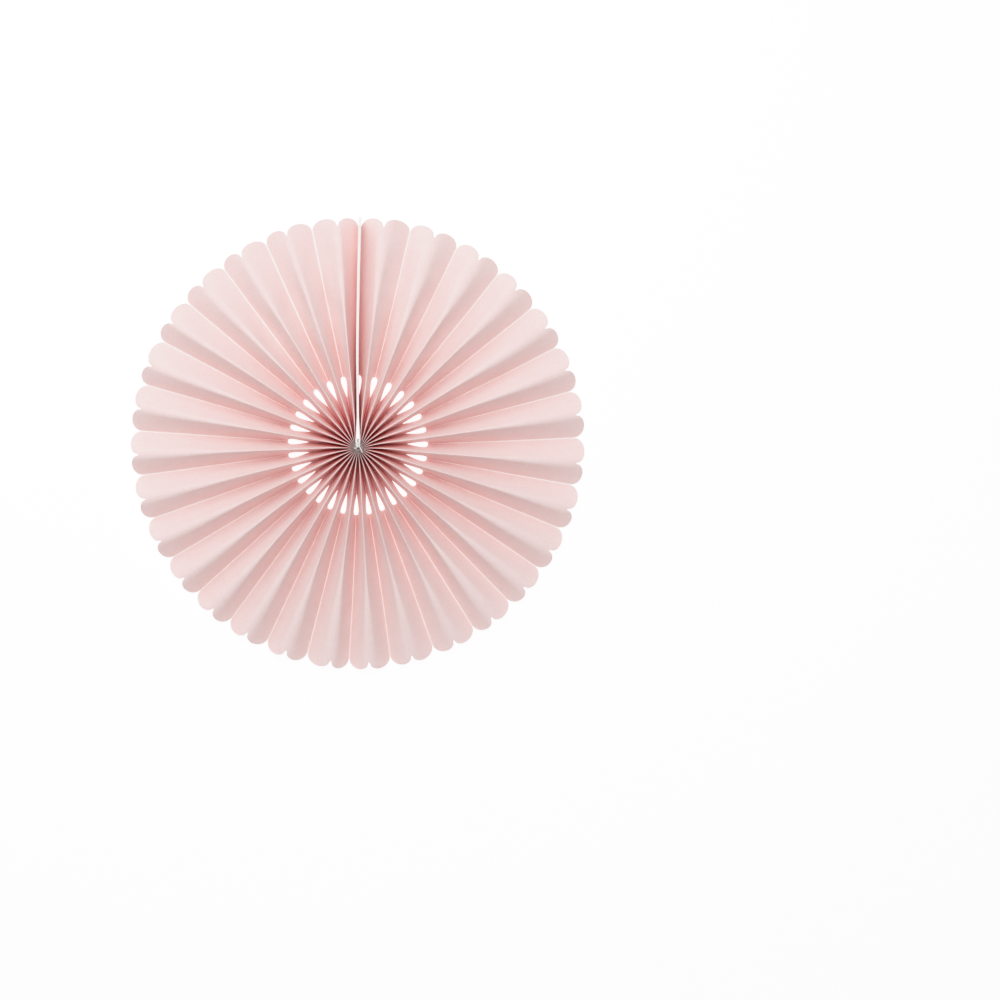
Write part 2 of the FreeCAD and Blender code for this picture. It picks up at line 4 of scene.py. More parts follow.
import bpy
import numpy as np
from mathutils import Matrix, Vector


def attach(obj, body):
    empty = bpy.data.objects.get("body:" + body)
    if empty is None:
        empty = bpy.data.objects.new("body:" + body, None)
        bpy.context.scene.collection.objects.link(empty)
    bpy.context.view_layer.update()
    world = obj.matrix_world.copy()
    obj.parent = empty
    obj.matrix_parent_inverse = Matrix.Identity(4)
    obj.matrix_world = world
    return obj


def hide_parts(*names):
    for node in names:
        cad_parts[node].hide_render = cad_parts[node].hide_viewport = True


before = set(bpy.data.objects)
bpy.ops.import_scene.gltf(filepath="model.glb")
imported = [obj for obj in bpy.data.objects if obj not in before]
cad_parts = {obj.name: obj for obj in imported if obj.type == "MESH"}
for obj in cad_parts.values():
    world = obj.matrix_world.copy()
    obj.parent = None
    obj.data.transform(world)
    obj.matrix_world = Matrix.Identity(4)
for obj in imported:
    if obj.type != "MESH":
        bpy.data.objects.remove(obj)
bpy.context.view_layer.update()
rng = np.random.default_rng(41)

# ------------------------------------------------------------------ the same fan as in the CAD part
HUB_X, HUB_Y = 0.05, 0.23
RIM, DROP, DIP = 200.1, 0.7, 2.2
W, T, HUB = 25.0, 0.25, 3.8
NOTCH_V, NOTCH_R = 8.3, 8.0
SLOT_A, SLOT_B, SLOT_HALF = 43.7, 62.2, 9.3
CARD, TAPE, GLUE, SPLAY, START, BEND = 0.8, 0.2, 0.02, 1.1, 3.0, 26.0
CARD_TIP, CARD_UP = 197.2, 25.0
LEAN = np.array([(0.0, 0.0), (26.0, 0.0), (50.0, -0.22), (76.0, -0.5), (96.0, -0.35), (120.0, 0.0), (154.0, 0.65), (197.2, 1.9), (210.0, 2.27)])
NEAR_AT, RIM_AT = 54.0, 188.0
VALLEY_NEAR = [14.3, 27.3, 40.0, 52.1, 64.5, 76.4, 88.7, 101.0, 112.5, 124.3, 136.2, 147.5, 158.8, 170.4, 181.5,
               192.8, 204.4, 215.8, 226.9, 238.5, 250.0, 262.0, 273.7, 286.1, 298.0, 309.8, 322.2, 335.2, 347.5]
VALLEY_RIM = [13.7, 26.6, 39.3, 51.7, 63.7, 75.8, 88.0, 100.5, 112.4, 124.3, 136.0, 147.7, 159.6, 171.3, 182.3,
              193.6, 204.8, 216.1, 227.3, 238.8, 250.4, 262.1, 273.8, 286.0, 298.1, 310.0, 322.8, 335.5, 348.0]
RIDGE_NEAR = [7.2, 20.7, 33.7, 46.1, 58.3, 70.5, 82.4, 94.7, 106.8, 118.4, 130.2, 141.7, 153.0, 164.6, 176.1,
              187.0, 198.7, 210.1, 221.2, 232.7, 244.2, 255.9, 267.9, 279.7, 291.7, 303.9, 316.1, 328.7, 341.4, 354.0]
RIDGE_RIM = [6.7, 20.1, 32.9, 45.3, 57.8, 69.9, 81.8, 94.5, 106.8, 118.6, 130.4, 142.2, 153.8, 165.6, 177.0,
             187.2, 199.3, 210.6, 221.6, 232.8, 244.3, 256.0, 267.8, 279.8, 291.3, 303.6, 315.9, 328.5, 341.4, 354.7]
RIDGES = len(RIDGE_RIM)
FOLDS = 2 * RIDGES + 3  # 0 and the last are the free long edges, odd ones are valleys


def lerp_table(x, xs, ys):
    return np.interp(x, xs, ys)


def seam_x(y):
    return lerp_table(y, LEAN[:, 0], LEAN[:, 1])


def card_face(y):
    return TAPE / 2 + CARD + SPLAY * np.maximum(0.0, (BEND - y) / (BEND - START))


def seam_angle(r, side):
    y = np.array(r, dtype=float)
    for _ in range(20):
        x = seam_x(y) + side * (card_face(y) + GLUE + T / 2)
        y = np.sqrt(np.maximum(r * r - x * x, 0.01))
    return np.degrees(np.arctan2(x, y))


def direction(k, r):
    """Direction of fold k at radius r, degrees clockwise from 12 o'clock."""
    r = np.maximum(r, HUB)  # inside the tied ring the folds run straight on
    right, left = seam_angle(r, 1), seam_angle(r, -1)
    if k <= 1:
        return right
    if k >= FOLDS - 2:
        return 360.0 + left
    if k % 2:
        near, far = VALLEY_NEAR[(k - 3) // 2], VALLEY_RIM[(k - 3) // 2]
    else:
        near, far = RIDGE_NEAR[(k - 2) // 2], RIDGE_RIM[(k - 2) // 2]
    a = near + (far - near) * np.maximum(0.0, (r - NEAR_AT) / (RIM_AT - NEAR_AT))
    even = right + (360.0 + left - right) * (k - 1) / (FOLDS - 3)
    mix = np.clip((NEAR_AT - r) / (NEAR_AT - HUB), 0.0, 1.0) ** 1.5
    return a + (even - a) * mix


def tip_radius(a):
    rad = np.radians(a)
    out = DROP * np.cos(rad) + np.sqrt(RIM ** 2 - (DROP * np.sin(rad)) ** 2)
    return out - DIP * np.maximum(0.0, 1.0 - np.minimum(a, 360.0 - a) / 14.0)


def smooth(x):
    x = np.clip(x, 0.0, 1.0)
    return x * x * (3.0 - 2.0 * x)


def bump1(x, centre, width):
    """A smooth hill from 0 to 1 and back round a centre."""
    return np.exp(-(((x - centre) / width) ** 2))


# ------------------------------------------------------------------ the folded sheet
def half_gap(k, r):
    """Mean arc length from ridge k to its two valleys."""
    return r * np.radians((direction(k + 1, r) - direction(k - 1, r)) / 2)


def softness(a):
    """How far from the ridge line its bend reaches at the rim, by direction."""
    return np.interp(a, [0, 8, 35, 60, 80, 100, 130, 180, 230, 262, 285, 310, 340, 360],
                     [5.0, 7.0, 7.2, 6.0, 4.6, 5.4, 6.6, 7.0, 6.6, 5.6, 4.2, 4.0, 4.0, 4.6])


ROLL = {k: float(softness(RIDGE_RIM[(k - 2) // 2]) * rng.uniform(0.86, 1.14)) for k in range(2, FOLDS - 1, 2)}
ROLL_FROM = {k: float(rng.uniform(66, 92)) for k in ROLL}


def bend_lengths(k, r):
    """Half lengths of the sheet taken by the bends: in the valley, and on ridge k."""
    s = half_gap(k, r)
    lv = np.minimum(0.42, 0.7 * s)
    lr = 0.34 * np.clip(s / 2.4, 0.42, 1.0) + (ROLL[k] - 0.34) * smooth((r - ROLL_FROM[k]) / 105.0) ** 1.2
    return lv, np.minimum(lr, 0.7 * s)


def profile(k, r, u):
    """Across the sheet from the valley's middle (u = 0) to ridge k's middle (u = W): the share of the
    way between the two folds, and the height. r and u are arrays of one shape."""
    s = half_gap(k, r)
    lv, lr = bend_lengths(k, r)
    flat = W - lv - lr
    lo, hi = np.full(r.shape, 0.02), np.full(r.shape, 2.6)
    for _ in range(42):
        mid = (lo + hi) / 2
        wide = (lv + lr) * np.sin(mid) / mid + flat * np.cos(mid) > s
        lo, hi = np.where(wide, mid, lo), np.where(wide, hi, mid)
    psi = (lo + hi) / 2
    xv, zv = lv * np.sin(psi) / psi, lv * (1 - np.cos(psi)) / psi
    zr = lr * (1 - np.cos(psi)) / psi
    top = zv + flat * np.sin(psi) + zr
    uu = np.clip(u, 0.0, W)
    t1, t2 = psi * uu / lv, psi * (W - uu) / lr
    x = np.where(uu < lv, lv / psi * np.sin(t1), np.where(uu < W - lr, xv + (uu - lv) * np.cos(psi), s - lr / psi * np.sin(t2)))
    z = np.where(uu < lv, lv / psi * (1 - np.cos(t1)), np.where(uu < W - lr, zv + (uu - lv) * np.sin(psi), top - lr / psi * (1 - np.cos(t2))))
    return x / s, z + T / 2 + 0.01


def cut_half(r):
    """Half width of the drop-shaped cut-out in the flat sheet, pointed inside and rounded outside."""
    q = (r - SLOT_A) / (SLOT_B - SLOT_A)
    top = 0.78
    inner = np.sin(np.pi / 2 * np.clip(q / top, 0.0, 1.0) ** 1.15)
    outer = np.sqrt(np.clip(1.0 - ((q - top) / (1.0 - top)) ** 2, 0.0, 1.0))
    return SLOT_HALF * np.where((q <= 0) | (q >= 1), 0.0, np.where(q < top, inner, outer))


HUB_ROWS = [1.7, 5.7, 7.3, 9.6, 13.0, 17.0, 21.5, 26.05, 31.0, 36.0, 40.5]
SLOT_ROWS = [SLOT_A + (SLOT_B - SLOT_A) * q for q in (0.0, 0.06, 0.14, 0.24, 0.36, 0.48, 0.60, 0.70, 0.78, 0.85, 0.905, 0.95, 0.98, 1.0)]
OUT_ROWS = [66.0, 74.0, 84.0, 94.0, 104.0, 114.0, 124.0, 134.0, 144.0, 154.0, 164.0, 173.0, 180.0, 185.0]
ROWS = np.array(HUB_ROWS + SLOT_ROWS + OUT_ROWS)
LOBE_ROWS = np.array([0.3, 0.58, 0.82, 0.955, 1.0])
FLAT_COLS = np.array([0.035, 0.09, 0.17, 0.27, 0.38, 0.467, 0.533, 0.66, 0.78, 0.89])
RIDGE_COLS = np.array([0.0, 0.25, 0.5, 0.75, 1.0])
N_ROWS, N_COLS = len(ROWS) + len(LOBE_ROWS), 2 + 1 + len(FLAT_COLS) + len(RIDGE_COLS) - 0


def undulation(p, k, r, f):
    """How far the sheet stands off the plain fold geometry, to the front of each panel. f is the
    share of the way from the valley to the ridge. It is nothing on the folds."""
    a = (direction(p, r) + direction(p + 1, r)) / 2
    amp, phase, wave, low = WAVES[p]
    out = amp * np.sin(2 * np.pi * r / wave + phase) * smooth((r - 45) / 60)
    out = out + low * smooth((r - 60) / 90)
    here = (direction(p, r) * (1 - f) + direction(p + 1, r) * f) if p % 2 else (direction(p + 1, r) * (1 - f) + direction(p, r) * f)
    for at, far, wide, deep in DENTS:
        out = out + 1.6 * deep * np.exp(-((r - far) ** 2 + (np.radians(here - at) * r) ** 2) / wide ** 2)
    return out * np.sin(np.pi * np.clip(f, 0, 1)) ** 1.2


DENTS = [(348.5, 141.0, 15.0, 1.1), (339.0, 137.0, 15.0, -1.0), (350.5, 168.0, 12.0, -0.8), (343.0, 104.0, 13.0, 0.7), (355.5, 120.0, 13.0, -0.6),
         (331.0, 150.0, 17.0, 0.8), (323.0, 128.0, 15.0, -0.8), (9.0, 150.0, 16.0, -0.8), (16.0, 118.0, 14.0, 0.8), (24.0, 128.0, 15.0, -1.0),
         (30.0, 160.0, 16.0, 0.9), (41.0, 122.0, 15.0, -0.9), (310.0, 118.0, 14.0, 0.5), (62.0, 140.0, 16.0, 0.5)]
# STREAK: how strongly each panel takes the painted grey shade at the hub
STREAK = [float(v) for v in rng.uniform(0.35, 1.0, FOLDS - 1)]
# SHARP: how strongly each ridge away from the hub takes the whiter ridge line
SHARP = [float(v) for v in rng.uniform(0.15, 0.75, FOLDS - 1)]
WAVES = []
for p in range(FOLDS - 1):
    middle = (p + 0.5) / (FOLDS - 1) * 360.0
    strong = 0.10 + 0.30 * bump1(middle, 30.0, 26.0) + 0.14 * bump1(middle, 335.0, 22.0) + 0.08 * bump1(middle, 170.0, 60.0)
    WAVES.append((strong * rng.uniform(0.6, 1.3), rng.uniform(0, 2 * np.pi), rng.uniform(70, 120), rng.normal(0, 0.16)))


def panel_grid(p):
    """Points of panel p's middle surface, rows from the hub outward, columns from the valley to the
    ridge, with the sheet coordinate u and the share f of each."""
    end = p in (0, FOLDS - 2)
    if end:
        k = None
        valley = 1 if p == 0 else FOLDS - 2
    else:
        k = p + 1 if p % 2 else p
        valley = p if p % 2 else p + 1
    other = k if k is not None else (0 if p == 0 else FOLDS - 1)
    r0 = np.repeat(ROWS[:, None], N_COLS, axis=1)
    u = np.zeros((N_ROWS, N_COLS))

    def columns(r_line, cut):
        """Column positions u at radius r."""
        if end:
            lv, lr = 0.3, 0.3
        else:
            lv, lr = [float(x) for x in bend_lengths(k, np.array([r_line]))]
        start = cut
        first = [start, start + lv / 2, start + lv]
        a, b = start + lv, W - lr
        return np.array(first + list(a + (b - a) * FLAT_COLS) + list(b + lr * RIDGE_COLS))

    rows = []
    for r in ROWS:
        cut = float(cut_half(np.array(r))) if valley != FOLDS - 2 else 0.0
        rows.append(columns(r, cut))
    for _ in LOBE_ROWS:
        rows.append(columns(ROWS[-1], 0.0))
    u = np.array(rows)
    f = u / W
    # the scallop
    mid_dir = float((direction(p, np.array(RIM)) + direction(p + 1, np.array(RIM))) / 2)
    tip = float(tip_radius(mid_dir))

    def notch(fold):
        return float(tip_radius(float(direction(fold, np.array(RIM - 8))))) - (NOTCH_V if fold % 2 else NOTCH_R)

    n_valley = notch(valley)
    n_ridge = notch(other) if k is not None else tip - NOTCH_R
    fl = f[-1]
    foot = n_valley + (n_ridge - n_valley) * fl
    # a scallop's end is a little flatter than half an ellipse
    rise = (1.0 - np.abs(1.0 - 2.0 * fl) ** 2.15) ** 0.5
    end_r = foot + (tip - foot) * rise
    lobes = ROWS[-1] + (end_r - ROWS[-1])[None, :] * LOBE_ROWS[:, None]
    r = np.concatenate([r0, lobes], axis=0)
    if end:
        side = 1.0 if p == 0 else -1.0
        full = np.maximum(r, HUB)
        y = full.copy()
        for _ in range(8):
            x = seam_x(y) + side * (card_face(y) + GLUE + T / 2)
            y = np.sqrt(np.maximum(full * full - x * x, 0.01))
        x, y = x * r / full, y * r / full
        bend = 0.35
        q = np.clip(u / (bend * np.pi / 2), 0, 1) * np.pi / 2
        # up the card from a small bend at the valley
        z = np.where(u < bend * np.pi / 2, bend * (1 - np.cos(q)), bend + (u - bend * np.pi / 2))
        z = T / 2 + 0.01 + z * (W - 0.3) / (W - bend * (np.pi / 2 - 1))
        pts = np.stack([x, y, z], axis=-1)
        return pts, u, f, r, valley, other, np.full(r.shape, 9.0), np.zeros(r.shape)
    share, z = profile(k, r, u)
    av, ar = direction(valley, r), direction(k, r)
    a = np.radians(av + (ar - av) * share)
    pts = np.stack([r * np.sin(a), r * np.cos(a), z], axis=-1)
    # off the plain geometry, along the panel's own normal
    av, ar = np.radians(av), np.radians(ar)
    along = np.stack([r * (np.sin(ar) - np.sin(av)), r * (np.cos(ar) - np.cos(av)), np.full(r.shape, 1.0) * np.sqrt(np.maximum(W * W - half_gap(k, r) ** 2, 1.0))], axis=-1)
    radial = np.stack([np.sin((av + ar) / 2), np.cos((av + ar) / 2), np.zeros(r.shape)], axis=-1)
    n = np.cross(radial, along)
    n *= np.sign(n[..., 2:3])
    n /= np.linalg.norm(n, axis=-1, keepdims=True)
    pts = pts + n * undulation(p, k, r, f)[..., None]
    return pts, u, f, r, valley, other, (1.0 - share) * half_gap(k, r), share * half_gap(k, r)


def sheet_mesh():
    points, crease, index = [], [], {}
    quads = []
    n_plain = len(ROWS)
    in_cut = (ROWS > SLOT_A + 1e-6) & (ROWS < SLOT_B - 1e-6)
    for p in range(FOLDS - 1):
        pts, u, f, r, valley, other, off, inner = panel_grid(p)
        # beside the cards: painted shade in a band next to the seam and painted light on the panels there; the columns
        # are the added fold shade, its fall-off in mm, the grey shade, and the lightening
        beside = {1: (0.04, 3.2, 0.22, 0.36), FOLDS - 3: (0.0, 0.9, 0.78, 1.0), 0: (0.08, 9.0, 0.1, 0.0), FOLDS - 2: (0.0, 9.0, 0.0, 0.6)}.get(p)
        ids = np.zeros((N_ROWS, N_COLS), dtype=int)
        for i in range(N_ROWS):
            for j in range(N_COLS):
                key = None
                cut_here = i < n_plain and in_cut[i] and valley != FOLDS - 2
                if j == 0 and not cut_here:
                    key = (valley, i)
                elif j == N_COLS - 1 and 0 < other < FOLDS - 1:
                    key = (other, i)
                if key is not None and key in index:
                    ids[i, j] = index[key]
                    continue
                ids[i, j] = len(points)
                points.append(pts[i, j])
                # whiter along the ridges (on the back, along the valleys): partly the rubbed creases of the paper,
                # partly a painted highlight on the ridge lines, strongest near the hub
                inside = float(smooth((62.0 - r[i, j]) / 20.0))
                line = (0.36 + 0.32 * inside) * min(1.0, max(0.05, off[i, j] + inner[i, j]) / 1.9)
                near_ridge = math.exp(-(off[i, j] / line) ** 2) * (SHARP[p] + (1.0 - SHARP[p]) * inside)
                near_valley = math.exp(-(u[i, j] / 0.6) ** 2) if not cut_here else 0.0
                # painted shade: darker and redder towards each valley and towards the hub, where the pleats run deep
                deep = (1.0 - f[i, j]) ** (0.55 + 0.75 * float(smooth((r[i, j] - 6.0) / 18.0))) * min(1.2, max(0.0, (50.0 - r[i, j]) / 33.0)) ** 2.3
                # painted shade: grey at the hub, where the crowded inner ends of the pleats lie in shade, varied from
                # panel to panel
                hub = float(smooth((8.2 - r[i, j]) / 4.0)) * STREAK[p]
                # the back of the sheet gets a weaker copy of the painted fold shade and of the painted grey hub shade
                back_painted_shade = (0.22 * deep, hub)
                # painted shade: a narrow darker, greyer line along the lowest line of each valley, away from the hub
                # and not beside the seam
                valley_painted_shade = math.exp(-(inner[i, j] / 0.55) ** 2) * float(smooth((r[i, j] - 30.0) / 40.0)) if not (cut_here or beside) else 0.0
                deep += 0.10 * valley_painted_shade
                hub = max(hub, 0.13 * valley_painted_shade)
                # painted shade darkening the band by the card, and painted light lifting the panel beside the seam
                if beside:
                    near = math.exp(-inner[i, j] / beside[1])
                    deep += (beside[0] + 0.3 * float(smooth((95.0 - r[i, j]) / 55.0))) * near
                    hub = max(hub, beside[2] * near)
                    near_ridge = max(near_ridge, beside[3] * math.exp(-inner[i, j] / 20.0) * float(smooth((r[i, j] - 55.0) / 30.0)))
                # painted shade: a thin dark line along the scallops' outer edge
                if i == N_ROWS - 1:
                    hub = max(hub, 0.16)
                crease.append((near_ridge, near_valley, deep, hub) + back_painted_shade)
                if key is not None:
                    index[key] = ids[i, j]
        # columns run clockwise where the valley comes first
        clockwise = valley < other if p not in (0, FOLDS - 2) else p != 0
        hole_row, hole_col = 1, 3 + 5
        for i in range(N_ROWS - 1):
            for j in range(N_COLS - 1):
                if i == hole_row and j == hole_col:
                    continue
                a, b, c, d = ids[i, j], ids[i, j + 1], ids[i + 1, j + 1], ids[i + 1, j]
                quads.append((a, d, c, b) if clockwise else (a, b, c, d))
    return np.array(points), np.array(crease), quads


def face_normals(pts, quads):
    q = np.array(quads)
    n = np.cross(pts[q[:, 2]] - pts[q[:, 0]], pts[q[:, 3]] - pts[q[:, 1]])
    return q, n


def thicken(pts, quads, thick):
    """A closed sheet of the real thickness round a middle surface."""
    q, n = face_normals(pts, quads)
    unit = n / np.maximum(np.linalg.norm(n, axis=1, keepdims=True), 1e-12)
    vn = np.zeros_like(pts)
    for c in range(4):
        np.add.at(vn, q[:, c], n)
    vn /= np.maximum(np.linalg.norm(vn, axis=1, keepdims=True), 1e-12)
    front, back = pts + vn * thick / 2, pts - vn * thick / 2
    faces = [tuple(int(v) for v in row) for row in q]
    faces += [tuple(int(v) + len(pts) for v in row[::-1]) for row in q]
    used = {}
    for row in q:
        for a, b in ((row[0], row[1]), (row[1], row[2]), (row[2], row[3]), (row[3], row[0])):
            used[(int(a), int(b))] = used.get((int(a), int(b)), 0) + 1
    m = len(pts)
    for (a, b) in list(used):
        if (b, a) not in used:
            faces.append((b, a, a + m, b + m))
    return np.concatenate([front, back]), faces


def to_metres(v):
    return (np.asarray(v, dtype=float) + np.array([HUB_X, HUB_Y, 0.0])) / 1000.0


def make_object(name, pts, faces, material, attributes=None, sharp=None):
    mesh = bpy.data.meshes.new(name)
    mesh.from_pydata([tuple(v) for v in to_metres(pts)], [], faces)
    mesh.validate()
    mesh.update()
    for label, values in (attributes or {}).items():
        attr = mesh.attributes.new(label, "FLOAT", "POINT")
        attr.data.foreach_set("value", np.asarray(values, dtype=np.float32))
    for poly in mesh.polygons:
        poly.use_smooth = True
    if sharp is not None:
        mesh.set_sharp_from_angle(angle=math.radians(sharp))
    obj = bpy.data.objects.new(name, mesh)
    bpy.context.scene.collection.objects.link(obj)
    mesh.materials.append(material)
    return obj


# ------------------------------------------------------------------ materials
def new_material(name):
    mat = bpy.data.materials.new(name)
    mat.use_nodes = True
    tree = mat.node_tree
    tree.nodes.clear()
    out = tree.nodes.new("ShaderNodeOutputMaterial")
    shader = tree.nodes.new("ShaderNodeBsdfPrincipled")
    tree.links.new(shader.outputs["BSDF"], out.inputs["Surface"])
    return mat, tree, shader


def noise(tree, coords, scale, detail=3.0, rough=0.55, stretch=None):
    node = tree.nodes.new("ShaderNodeTexNoise")
    node.inputs["Scale"].default_value = scale
    node.inputs["Detail"].default_value = detail
    node.inputs["Roughness"].default_value = rough
    if stretch:
        mapping = tree.nodes.new("ShaderNodeMapping")
        mapping.inputs["Scale"].default_value = stretch
        mapping.inputs["Rotation"].default_value = (0.3, 0.2, 0.7)
        tree.links.new(coords, mapping.inputs["Vector"])
        coords = mapping.outputs["Vector"]
    tree.links.new(coords, node.inputs["Vector"])
    return node.outputs["Fac"]


def mix_colour(tree, fac, one, two):
    node = tree.nodes.new("ShaderNodeMix")
    node.data_type = "RGBA"
    for socket, value in ((node.inputs["Factor"], fac), (node.inputs["A"], one), (node.inputs["B"], two)):
        socket = [s for s in node.inputs if s.identifier == {"Factor": "Factor_Float", "A": "A_Color", "B": "B_Color"}[socket.name]][0]
        if hasattr(value, "is_output"):
            tree.links.new(value, socket)
        else:
            socket.default_value = value
    return [s for s in node.outputs if s.identifier == "Result_Color"][0]


def ranged(tree, value, lo, hi, to_lo=0.0, to_hi=1.0):
    node = tree.nodes.new("ShaderNodeMapRange")
    node.inputs["From Min"].default_value = lo
    node.inputs["From Max"].default_value = hi
    node.inputs["To Min"].default_value = to_lo
    node.inputs["To Max"].default_value = to_hi
    tree.links.new(value, node.inputs["Value"])
    return node.outputs["Result"]


def math_node(tree, op, a, b):
    node = tree.nodes.new("ShaderNodeMath")
    node.operation = op
    for n, value in enumerate((a, b)):
        if hasattr(value, "is_output"):
            tree.links.new(value, node.inputs[n])
        else:
            node.inputs[n].default_value = value
    return node.outputs[0]


def bumped(tree, shader, height, strength, distance):
    node = tree.nodes.new("ShaderNodeBump")
    node.inputs["Strength"].default_value = strength
    node.inputs["Distance"].default_value = distance
    tree.links.new(height, node.inputs["Height"])
    tree.links.new(node.outputs["Normal"], shader.inputs["Normal"])


def rgba(r, g, b):
    return (r, g, b, 1.0)


def paper_material():
    mat, tree, shader = new_material("pink_paper")
    coords = tree.nodes.new("ShaderNodeTexCoord").outputs["Object"]
    cloud = noise(tree, coords, 90.0, 5.0, 0.65)
    grain = noise(tree, coords, 520.0, 4.0, 0.7)
    fibre = noise(tree, coords, 420.0, 4.0, 0.65, stretch=(1.0, 5.0, 1.0))
    colour = mix_colour(tree, ranged(tree, cloud, 0.3, 0.7), rgba(*PAPER_A), rgba(*PAPER_B))
    colour = mix_colour(tree, ranged(tree, grain, 0.40, 0.66, 0.0, 0.68), colour, rgba(0.905, 0.72, 0.703))
    # whiter paper on the creases: partly rubbed creases, partly a painted highlight, and painted light on the panels
    # beside the seam
    wear_and_light_attr = tree.nodes.new("ShaderNodeAttribute")
    wear_and_light_attr.attribute_name = "ridge_wear_and_painted_light"
    wear_and_light = math_node(tree, "MULTIPLY", wear_and_light_attr.outputs["Fac"], ranged(tree, fibre, 0.35, 0.65, 0.7, 1.0))
    # painted shade: the ramp makes the paper darker and redder where the painted fold-shade mask is high
    fold_shade_attr = tree.nodes.new("ShaderNodeAttribute")
    fold_shade_attr.attribute_name = "painted_fold_shade"
    ramp = tree.nodes.new("ShaderNodeValToRGB")
    ramp.color_ramp.interpolation = "LINEAR"
    while len(ramp.color_ramp.elements) < 7:
        ramp.color_ramp.elements.new(0.5)
    for element, at in zip(ramp.color_ramp.elements, (0.0, 0.06, 0.14, 0.26, 0.44, 0.7, 1.0)):
        element.position = at
        element.color = rgba(math.exp(-FOLD_SHADE_R * at), math.exp(-FOLD_SHADE_G * at ** 0.9), math.exp(-FOLD_SHADE_G * 1.04 * at ** 0.9))
    tree.links.new(fold_shade_attr.outputs["Fac"], ramp.inputs["Fac"])
    product = tree.nodes.new("ShaderNodeVectorMath")
    product.operation = "MULTIPLY"
    tree.links.new(colour, product.inputs[0])
    tree.links.new(ramp.outputs["Color"], product.inputs[1])
    colour = mix_colour(tree, wear_and_light, product.outputs["Vector"], rgba(0.99, 0.94, 0.915))
    # painted shade: towards dark grey at the hub, along the valleys, beside the seam and along the rim edge
    grey_shade_attr = tree.nodes.new("ShaderNodeAttribute")
    grey_shade_attr.attribute_name = "painted_grey_shade"
    colour = mix_colour(tree, grey_shade_attr.outputs["Fac"], colour, rgba(0.20, 0.165, 0.16))
    tree.links.new(colour, shader.inputs["Base Color"])
    rough = ranged(tree, grain, 0.3, 0.7, 0.84, 0.96)
    tree.links.new(rough, shader.inputs["Roughness"])
    shader.inputs["IOR"].default_value = 1.42
    shader.inputs["Specular IOR Level"].default_value = 0.3
    height = math_node(tree, "ADD", math_node(tree, "MULTIPLY", grain, 0.6), fibre)
    bumped(tree, shader, height, 0.5, 0.0002)
    return mat


def card_material():
    mat, tree, shader = new_material("white_card")
    coords = tree.nodes.new("ShaderNodeTexCoord").outputs["Object"]
    grain = noise(tree, coords, 900.0, 3.0, 0.6)
    layers = noise(tree, coords, 260.0, 2.0, 0.5, stretch=(9.0, 0.6, 1.0))
    colour = mix_colour(tree, ranged(tree, layers, 0.35, 0.65), rgba(0.93, 0.92, 0.905), rgba(0.975, 0.97, 0.955))
    tree.links.new(colour, shader.inputs["Base Color"])
    tree.links.new(ranged(tree, grain, 0.3, 0.7, 0.7, 0.88), shader.inputs["Roughness"])
    bumped(tree, shader, math_node(tree, "ADD", grain, layers), 0.3, 0.0001)
    return mat


def tape_material():
    mat, tree, shader = new_material("tape")
    coords = tree.nodes.new("ShaderNodeTexCoord").outputs["Object"]
    cloud = noise(tree, coords, 120.0, 3.0, 0.5)
    colour = mix_colour(tree, ranged(tree, cloud, 0.3, 0.7), rgba(0.80, 0.78, 0.74), rgba(0.89, 0.88, 0.85))
    tree.links.new(colour, shader.inputs["Base Color"])
    tree.links.new(ranged(tree, cloud, 0.3, 0.7, 0.35, 0.5), shader.inputs["Roughness"])
    bumped(tree, shader, cloud, 0.2, 0.0001)
    return mat


def thread_material():
    mat, tree, shader = new_material("white_thread")
    coords = tree.nodes.new("ShaderNodeTexCoord").outputs["Object"]
    fuzz = noise(tree, coords, 2600.0, 4.0, 0.7)
    cloud = noise(tree, coords, 500.0, 2.0, 0.5)
    colour = mix_colour(tree, ranged(tree, cloud, 0.3, 0.7), rgba(0.88, 0.865, 0.84), rgba(0.96, 0.955, 0.945))
    tree.links.new(colour, shader.inputs["Base Color"])
    tree.links.new(ranged(tree, fuzz, 0.3, 0.7, 0.75, 0.95), shader.inputs["Roughness"])
    shader.inputs["Sheen Weight"].default_value = 0.25
    bumped(tree, shader, fuzz, 0.5, 0.00008)
    return mat


PAPER_A, PAPER_B = (0.868, 0.636, 0.620), (0.893, 0.676, 0.660)
# how fast the painted fold shade darkens the red and the green with the mask
FOLD_SHADE_R, FOLD_SHADE_G = 0.85, 7.5
pink, card_mat, tape_mat, thread_mat = paper_material(), card_material(), tape_material(), thread_material()

# ------------------------------------------------------------------ the paper piece
mid, crease, quads = sheet_mesh()
outer, faces = thicken(mid, quads, T)
# colour masks, front values then back values: rubbed creases with painted light, painted fold shade, and painted grey
# shade
labels = {"ridge_wear_and_painted_light": np.concatenate([crease[:, 0], crease[:, 1]]), "painted_fold_shade": np.concatenate([crease[:, 2], crease[:, 4]]),
          "painted_grey_shade": np.concatenate([crease[:, 3], crease[:, 5]])}
fan = make_object("folded_paper", outer, faces, pink, labels, sharp=48)
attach(fan, "root")
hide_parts("paper_fan")


# ------------------------------------------------------------------ the cards and the tape
def strip_object(name, sections, material):
    """A bar through cross-sections of equal point count, with closed ends."""
    pts, faces = [], []
    n = len(sections[0])
    for s in sections:
        pts += s
    for i in range(len(sections) - 1):
        for j in range(n):
            a, b = i * n + j, i * n + (j + 1) % n
            faces.append((a, a + n, b + n, b))
    faces.append(tuple(range(n)))
    faces.append(tuple(range((len(sections) - 1) * n, len(sections) * n))[::-1])
    return make_object(name, np.array(pts), faces, material, sharp=30)


